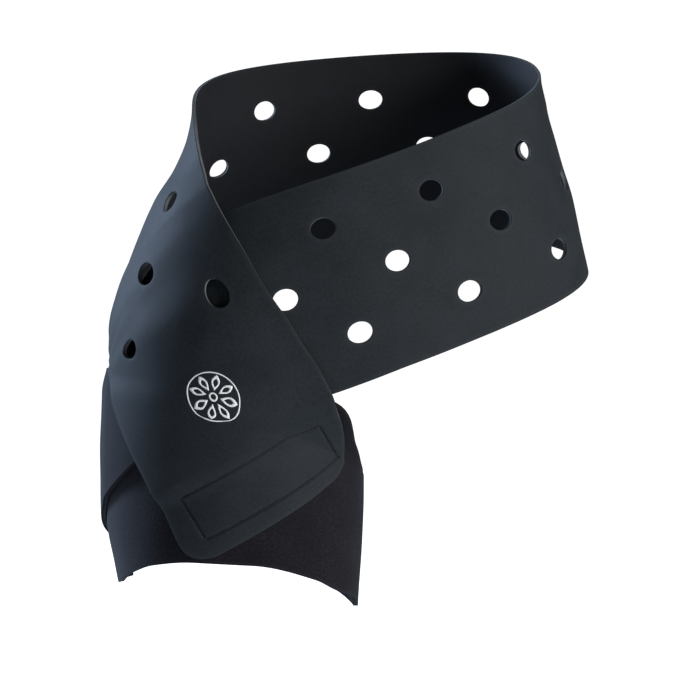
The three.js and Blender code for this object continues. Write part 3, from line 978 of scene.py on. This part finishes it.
# Drawn a little long and narrow on the flat cut: the worn cloth is stretched across the tab, which
# makes the print round
PRINT_SHAPE = (1.05, 0.94)
PRINT_LINE = 0.0008
PETALS = 8
PETAL = {"inner": 0.0042, "outer": 0.0152, "width": 0.0052}
PETAL_HOLLOW = {"inner": 0.0066, "outer": 0.0126, "width": 0.0030}
EYE_RADIUS = 0.0028
EYE_LINE = 0.0011
INK_STEP = 0.0009
# The ink's thickness, and how far it is sunk into the cloth
INK = 0.00014
INK_SUNK = 0.00005


def printed(loop):
    """A loop drawn round the print's middle, in its place on the flat belt."""
    return loop * PRINT_SHAPE + PRINT_AT


def circle(radius, count, way=1):
    """A round loop, drawn clockwise where way is -1."""
    angle = way * np.linspace(0, 2 * np.pi, count, endpoint=False)
    return printed(np.stack([radius * np.cos(angle), radius * np.sin(angle)], -1))


def petal(turn, inner, outer, width, count=22):
    """A pointed petal between two distances from the middle."""
    t = np.linspace(0, 1, count)
    bow = width / 2 * np.sin(np.pi * t ** 1.25) ** 0.85
    reach = inner + (outer - inner) * t
    loop = np.vstack([np.stack([reach, -bow], -1), np.stack([reach, bow], -1)[-2:0:-1]])
    return printed(turned(loop, turn))


def ink_place(flat, height):
    return belt_place(flat, NEOPRENE + uneven(flat, *BELT_SWELL) - INK_SUNK + height)


drawings = [
    [circle(PRINT_RADIUS, 120), circle(PRINT_RADIUS - PRINT_LINE, 120, -1)],
    [circle(EYE_RADIUS, 28), circle(EYE_RADIUS - EYE_LINE, 20, -1)],
]
for k in range(PETALS):
    petal_turn = 2 * math.pi * k / PETALS
    drawings.append([petal(petal_turn, **PETAL), petal(petal_turn, **PETAL_HOLLOW)[::-1]])
no_guides = np.zeros((0, 2))
round_print = joined("round_print", *[
    layer("ink", *filled(drawing, no_guides, INK_STEP), ink_place, INK, edge=[])
    for drawing in drawings])
print("print", triangle_count(round_print), "triangles")

# %% [markdown]
# ## Shader groups
# Four effects are each a node group that is built once and given its own sizes where it is used: the
# knit of the face cloth, brushed loops, a slow mottle as of slightly uneven dye, and the fade along
# cut edges. They read the place on the flat cut, so the knit runs along the strip as it does on the
# roll, and doesn't slide when the brace is seen from elsewhere.


# %% A short way to build node groups
class Nodes:
    """Adds nodes to a tree and links them as they are made."""

    def __init__(self, tree):
        self.tree = tree

    def add(self, kind, **settings):
        node = self.tree.nodes.new(kind)
        for key, value in settings.items():
            setattr(node, key, value)
        return node

    def put(self, socket, value):
        if isinstance(value, bpy.types.NodeSocket):
            self.tree.links.new(value, socket)
        else:
            socket.default_value = value

    def fill(self, node, values):
        for label, value in values.items():
            self.put(node.inputs[label], value)

    def math(self, operation, *values, clamp=False):
        node = self.add("ShaderNodeMath", operation=operation, use_clamp=clamp)
        for socket, value in zip(node.inputs, values):
            self.put(socket, value)
        return node.outputs[0]

    def vector(self, operation, *values):
        node = self.add("ShaderNodeVectorMath", operation=operation)
        for socket, value in zip(node.inputs, values):
            self.put(socket, value)
        return node.outputs[0]

    def noise(self, place, size, detail=2.0, roughness=0.5):
        node = self.add("ShaderNodeTexNoise")
        self.fill(node, {"Vector": place, "Scale": size, "Detail": detail, "Roughness": roughness})
        return node.outputs["Fac"]

    def total(self, *parts):
        """The sum of values, each times its weight."""
        first, *others = (self.math("MULTIPLY", value, weight) for value, weight in parts)
        for other in others:
            first = self.math("ADD", first, other)
        return first

    def widened(self, value, low, high):
        """A value's range from low to high, widened to 0 to 1."""
        node = self.add("ShaderNodeMapRange")
        self.fill(node, {"Value": value, "From Min": low, "From Max": high})
        return node.outputs["Result"]


def new_group(name, inputs, outputs):
    """An empty node group with named inputs (with their usual values) and outputs."""
    tree = bpy.data.node_groups.new(name, "ShaderNodeTree")
    for label, usual in inputs.items():
        kind = "NodeSocketVector" if usual is None else "NodeSocketFloat"
        socket = tree.interface.new_socket(label, in_out="INPUT", socket_type=kind)
        if usual is not None:
            socket.default_value = usual
    for label in outputs:
        tree.interface.new_socket(label, in_out="OUTPUT", socket_type="NodeSocketFloat")
    nodes = Nodes(tree)
    given = nodes.add("NodeGroupInput").outputs
    result = nodes.add("NodeGroupOutput").inputs
    return tree, nodes, given, result


print("Nodes helper ready")


# %% Group: knit of the face cloth
def knit_group():
    """Jersey knit: columns of small slanting legs, a groove between one column and the next."""
    tree, n, given, result = new_group("jersey knit", {"Place": None, "Wale": 0.0009}, ["Relief"])
    size = n.add("ShaderNodeCombineXYZ")
    for socket in size.inputs:
        n.put(socket, given["Wale"])
    parts = n.add("ShaderNodeSeparateXYZ")
    n.put(parts.inputs[0], n.vector("DIVIDE", given["Place"], size.outputs[0]))
    across = n.math("ABSOLUTE", n.math("SUBTRACT", n.math("FRACT", parts.outputs["Y"]), 0.5))
    slant = n.math("ADD", n.math("MULTIPLY", parts.outputs["X"], 1.25), across)
    leg = n.math("SINE", n.math("MULTIPLY", slant, 2 * math.pi))
    leg = n.math("ADD", n.math("MULTIPLY", leg, 0.5), 0.5)
    groove = n.math("SUBTRACT", 1.0, n.math("POWER", n.math("MULTIPLY", across, 2.0), 5.0))
    n.put(result["Relief"], n.math("MULTIPLY", leg, groove))
    return tree


knit = knit_group()
print(knit.name, [s.name for s in knit.interface.items_tree])


# %% Group: brushed loops
def loop_group():
    """Fuzz of brushed loops: small tufts that lie over one another."""
    tree, n, given, result = new_group("brushed loops", {"Place": None, "Tuft": 0.0018},
                                       ["Relief", "Tone"])
    scale = n.math("DIVIDE", 1.0, given["Tuft"])
    tufts = n.noise(given["Place"], scale, 3.0, 0.65)
    fine = n.noise(given["Place"], n.math("MULTIPLY", scale, 2.7), 2.0, 0.6)
    cells = n.add("ShaderNodeTexVoronoi", feature="SMOOTH_F1")
    n.fill(cells, {"Vector": given["Place"], "Scale": scale})
    hills = n.math("SUBTRACT", 1.0, cells.outputs["Distance"])
    n.put(result["Relief"], n.total((tufts, 0.6), (hills, 0.25), (fine, 0.25)))
    n.put(result["Tone"], n.widened(n.total((tufts, 0.7), (fine, 0.3)), 0.40, 0.62))
    return tree


brushed = loop_group()
print(brushed.name, [s.name for s in brushed.interface.items_tree])


# %% Groups: mottle and cut edge
def mottle_group():
    """A slow unevenness of the dye with a finer grain in it, about 0 to 1."""
    tree, n, given, result = new_group("dye mottle", {"Place": None, "Patch": 0.03, "Grain": 0.002},
                                       ["Tone"])
    slow = n.noise(given["Place"], n.math("DIVIDE", 1.0, given["Patch"]), 3.0, 0.55)
    grain = n.noise(given["Place"], n.math("DIVIDE", 1.0, given["Grain"]), 2.0, 0.6)
    n.put(result["Tone"], n.widened(n.total((slow, 0.45), (grain, 0.55)), 0.37, 0.63))
    return tree


def edge_group():
    """How strongly a cut edge shows: worn a little unevenly along its length."""
    tree, n, given, result = new_group("cut edge", {"Edge": 0.0, "Place": None, "Strength": 1.0},
                                       ["Mask"])
    patchy = n.noise(given["Place"], 90.0, 2.0, 0.6)
    worn = n.math("MULTIPLY", given["Edge"], n.math("ADD", patchy, 0.35))
    n.put(result["Mask"], n.math("MULTIPLY", worn, given["Strength"], clamp=True))
    return tree


mottle = mottle_group()
cut_edge = edge_group()
print(mottle.name, "and", cut_edge.name)

# %% [markdown]
# ## Materials
# Black neoprene isn't black: the nylon face is a dark blue-grey with a soft sheen, the brushed loop
# cloth a warmer purple-black, the lining darker still, and the foam in the belt's cut edge a dull
# grey. Each could be one flat colour, but cloth is never quite even. So each is a Principled shader
# whose colour is mixed from two near tones by the mottle, with the knit or the loops as bump.


# %% Cloth materials
def new_material(name):
    """A material, its nodes and its Principled shader."""
    material = bpy.data.materials.new(name)
    material.use_nodes = True
    return material, Nodes(material.node_tree), material.node_tree.nodes["Principled BSDF"]


def use(n, group, **values):
    """A group placed in a material, with its own values."""
    node = n.add("ShaderNodeGroup", node_tree=group)
    n.fill(node, values)
    return node.outputs


def tones(n, mask, low, high):
    """A colour between two, by a mask."""
    mix = n.add("ShaderNodeMix", data_type="RGBA")
    n.put(mix.inputs["Factor"], mask)
    for label, colour in (("A", low), ("B", high)):
        n.put(mix.inputs[label], (*colour, 1) if isinstance(colour, tuple) else colour)
    return mix.outputs["Result"]


def bumped(n, height, strength, distance):
    """The normal of a surface with a fine relief."""
    node = n.add("ShaderNodeBump")
    n.fill(node, {"Height": height, "Strength": strength, "Distance": distance})
    return node.outputs["Normal"]


def cloth(name, relief, dark, light, worn, bump, rough, sheen):
    """A cloth of two near tones. relief is the kind of surface: knit or loops."""
    material, n, shader = new_material(name)
    place = n.add("ShaderNodeAttribute", attribute_name="flat_place").outputs["Vector"]
    edge = n.add("ShaderNodeAttribute", attribute_name="cut_edge").outputs["Fac"]
    dye = use(n, mottle, Place=place)["Tone"]
    fade = use(n, cut_edge, Edge=edge, Place=place, Strength=0.8)["Mask"]
    shade = tones(n, dye, dark, light)
    if relief == "knit":
        height = use(n, knit, Place=place)["Relief"]
    else:
        tufts = use(n, brushed, Place=place)
        height = tufts["Relief"]
        shade = tones(n, tufts["Tone"], dark, shade)
    n.fill(shader, {
        "Base Color": tones(n, fade, shade, worn),
        "Roughness": n.math("ADD", n.math("MULTIPLY", dye, 0.08), rough),
        "Specular IOR Level": 0.12,
        "Sheen Weight": sheen,
        "Sheen Roughness": 0.45,
        "Sheen Tint": (0.85, 0.92, 1, 1),
        "Normal": bumped(n, height, 0.5, bump),
    })
    return material


def foam_material(name, dark, light):
    """Cut foam rubber: dull, with fine open cells."""
    material, n, shader = new_material(name)
    where = n.add("ShaderNodeNewGeometry").outputs["Position"]
    cells = n.add("ShaderNodeTexVoronoi")
    n.fill(cells, {"Vector": where, "Scale": 2600})
    dye = use(n, mottle, Place=where, Patch=0.02, Grain=0.0012)["Tone"]
    n.fill(shader, {
        "Base Color": tones(n, dye, dark, light),
        "Specular IOR Level": 0.2,
        "Roughness": 0.9,
        "Normal": bumped(n, cells.outputs["Distance"], 0.6, 0.0002),
    })
    return material


belt_face = cloth("belt face", "knit", (0.0102, 0.013, 0.0155), (0.0178, 0.0215, 0.025),
                  worn=(0.02, 0.024, 0.0275), bump=0.00012, rough=0.62, sheen=0.02)
band_face = cloth("loop face", "loops", (0.0045, 0.004, 0.0055), (0.016, 0.015, 0.019),
                  worn=(0.011, 0.0105, 0.014), bump=0.0005, rough=0.85, sheen=0.04)
lining = cloth("lining", "knit", (0.007, 0.0075, 0.009), (0.010, 0.011, 0.013),
               worn=(0.012, 0.013, 0.015), bump=0.00012, rough=0.7, sheen=0.02)
grey_foam = foam_material("grey cut foam", (0.068, 0.074, 0.076), (0.122, 0.132, 0.135))
# The band's cut foam is black rubber, made darker still as painted shade: its near-black tones also
# stand in for the shadow along the band's cut edges.
black_foam_painted_shade = foam_material("black cut foam with painted shade", (0.003, 0.003, 0.0035), (0.007, 0.007, 0.0075))
for piece, finishes in ((hip_belt, (belt_face, grey_foam, lining)),
                        (thigh_wrap, (band_face, black_foam_painted_shade, lining))):
    for material in finishes:
        piece.data.materials.append(material)
print([m.name for m in bpy.data.materials])


# %% Tape, thread and ink
def plain_material(name, dark, light, rough, bump, size):
    """A small piece's finish: two near tones, uneven over a few millimetres."""
    material, n, shader = new_material(name)
    where = n.add("ShaderNodeNewGeometry").outputs["Position"]
    tone = use(n, mottle, Place=where, Patch=size * 8, Grain=size)["Tone"]
    n.fill(shader, {
        "Base Color": tones(n, tone, dark, light),
        "Roughness": n.math("ADD", n.math("MULTIPLY", tone, 0.1), rough),
        "Normal": bumped(n, tone, 0.5, bump),
    })
    return material


tape = plain_material("hook tape", (0.008, 0.008, 0.009), (0.016, 0.016, 0.018),
                      rough=0.5, bump=0.0001, size=0.0006)
thread = plain_material("thread", (0.001, 0.0012, 0.0014), (0.004, 0.0045, 0.005),
                        rough=0.55, bump=0.00008, size=0.0004)
ink = plain_material("white ink", (0.74, 0.74, 0.73), (0.84, 0.84, 0.83),
                     rough=0.55, bump=0.00006, size=0.0009)
for piece, material in ((belt_tape, tape), (thigh_tape, tape), (patch_stitches, thread),
                        (round_print, ink)):
    piece.data.materials.clear()
    piece.data.materials.append(material)
    piece.data.polygons.foreach_set("material_index", [0] * len(piece.data.polygons))
print("finishes of the small pieces set")

# %% [markdown]
# ## The floor and the light
# The photo has a plain white studio behind it and soft light. The key comes from the picture's
# right in front, a little from above. A cool light from behind on the left draws a bluish rim along
# the thigh and the tab. Many lights could soften it more; a white surround fills the shadows here.

# %% Floor and lights
FLOOR_DOWN = -0.6
FLOOR_REACH = 400
# Each light by degrees from the front towards +X, degrees up, distance, width of its square face,
# watts and colour
LIGHTS = {
    "key_light": (46, 15, 3.0, 1.0, 98, (1.0, 1.0, 1.0)),
    "rim_light": (-126, 20, 2.6, 0.8, 128, (0.58, 0.74, 1.0)),
}
WHITE = (1, 1, 1, 1)
SURROUND = 0.09

corners = np.array([(-1, -1), (1, -1), (1, 1), (-1, 1)]) * FLOOR_REACH
floor = mesh_object("floor", np.column_stack([corners, np.full(4, FLOOR_DOWN)]), [(0, 1, 2, 3)])
floor_material, floor_nodes, floor_shader = new_material("studio floor")
floor_nodes.fill(floor_shader, {
    "Base Color": (0.9, 0.9, 0.9, 1),
    "Roughness": 0.9,
    "Emission Color": WHITE,
    "Emission Strength": floor_nodes.add("ShaderNodeLightPath").outputs["Is Camera Ray"],
})
floor.data.materials.append(floor_material)
for name, (turn, rise, away, size, power, colour) in LIGHTS.items():
    data = bpy.data.lights.new(name, "AREA")
    data.shape = "SQUARE"
    data.size = size
    data.energy = power
    data.color = colour
    look_from(add_object(name, data), turn, rise, away)

world = bpy.data.worlds.new("studio")
world.use_nodes = True
world_nodes = Nodes(world.node_tree)
seen_directly = world_nodes.add("ShaderNodeLightPath").outputs["Is Camera Ray"]
world_nodes.fill(world.node_tree.nodes["Background"], {
    "Color": WHITE,
    "Strength": world_nodes.math("ADD", seen_directly, SURROUND),
})
bpy.context.scene.world = world
bpy.context.scene.view_settings.view_transform = "Standard"

# %% [markdown]
# ## On the body
# Every piece rides on the one body. The cloths and the hook tapes stand for their CAD solids, which
# are hidden.

for piece, node, slot in (
    (hip_belt, "hip_belt", "hip_belt"),
    (thigh_wrap, "thigh_wrap", "thigh_wrap"),
    (belt_tape, "belt_hook_patch", "hook_patch"),
    (thigh_tape, "thigh_hook_patch", "hook_patch"),
):
    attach(piece, "root")
    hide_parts(node)
for piece in (patch_stitches, round_print):
    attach(piece, "root")
